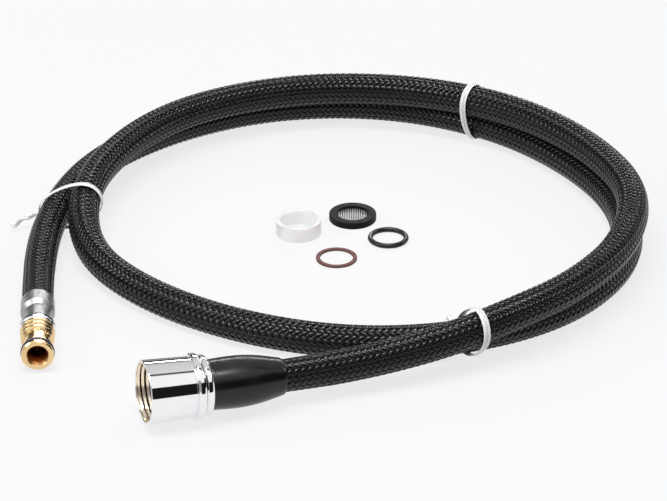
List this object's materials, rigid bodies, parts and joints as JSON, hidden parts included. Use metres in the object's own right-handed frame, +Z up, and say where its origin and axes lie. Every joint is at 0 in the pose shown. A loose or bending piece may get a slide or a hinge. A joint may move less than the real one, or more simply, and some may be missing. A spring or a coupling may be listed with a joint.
{
  "type": "braided supply hose",
  "caption": "Coiled black braided faucet supply hose with a chrome swivel nut, a brass push-in spigot, twist ties and loose seals.",
  "frame": {"origin": "centre of the footprint on the floor that the coil lies on", "axes": "+Z up, +X across the coil with the spigot and the nut at the -X side, +Y away from the two fittings"},
  "size_m": [0.2575, 0.2787, 0.0275],
  "materials": {
    "liner_rubber": "satin",
    "black_braid": "glossy woven",
    "nut_chrome": "polished",
    "seal_rubber": "matt",
    "turned_brass": "machined",
    "white_nylon": "satin",
    "collar_chrome": "polished",
    "crimp_steel": "pressed",
    "sleeve_plastic": "satin",
    "ring_plastic": "satin",
    "tie_plastic": "soft gloss",
    "tie_wire": "drawn",
    "clear_nylon": "translucent satin",
    "screen_steel": "woven",
    "red_fibre": "matt"
  },
  "bodies": {
    "hose": {"hose_liner": "liner_rubber", "hose_braid": "black_braid", "nut_seal": "seal_rubber", "coupling_stem": "turned_brass", "swivel_collar": "collar_chrome", "crimp_ferrule": "crimp_steel", "bend_sleeve": "sleeve_plastic", "spigot_ferrule": "crimp_steel", "spigot_body": "turned_brass", "spigot_back_ring": "ring_plastic", "spigot_collar": "collar_chrome", "spigot_o_ring": "seal_rubber", "tie_left_band": "tie_plastic", "tie_left_wire": "tie_wire", "tie_back_band": "tie_plastic", "tie_back_wire": "tie_wire", "tie_front_band": "tie_plastic", "tie_front_wire": "tie_wire"},
    "nut_float": {"slip_washer": "white_nylon"},
    "nut": {"coupling_nut": "nut_chrome"},
    "spacer": {"spacer_ring": "clear_nylon"},
    "filter": {"filter_washer": "seal_rubber", "filter_screen": "screen_steel"},
    "spare_ring": {"spare_o_ring": "seal_rubber"},
    "fibre": {"fibre_washer": "red_fibre"}
  },
  "joints": [
    {"name": "nut_play", "type": "slide", "parent": "hose", "child": "nut_float", "axis": [-0.9471, -0.3169, 0.0499], "range_m": [0, 0.0012]},
    {"name": "nut_spin", "type": "hinge", "parent": "nut_float", "child": "nut", "pos_m": [-0.05718, -0.12451, 0.01295], "axis": [-0.9471, -0.3169, 0.0499], "continuous": true},
    {"name": "spacer_lift", "type": "slide", "parent": "hose", "child": "spacer", "axis": [0, 0, 1], "range_m": [0, 0.06]},
    {"name": "filter_lift", "type": "slide", "parent": "hose", "child": "filter", "axis": [0, 0, 1], "range_m": [0, 0.06]},
    {"name": "spare_ring_lift", "type": "slide", "parent": "hose", "child": "spare_ring", "axis": [0, 0, 1], "range_m": [0, 0.06]},
    {"name": "fibre_lift", "type": "slide", "parent": "hose", "child": "fibre", "axis": [0, 0, 1], "range_m": [0, 0.06]}
  ]
}
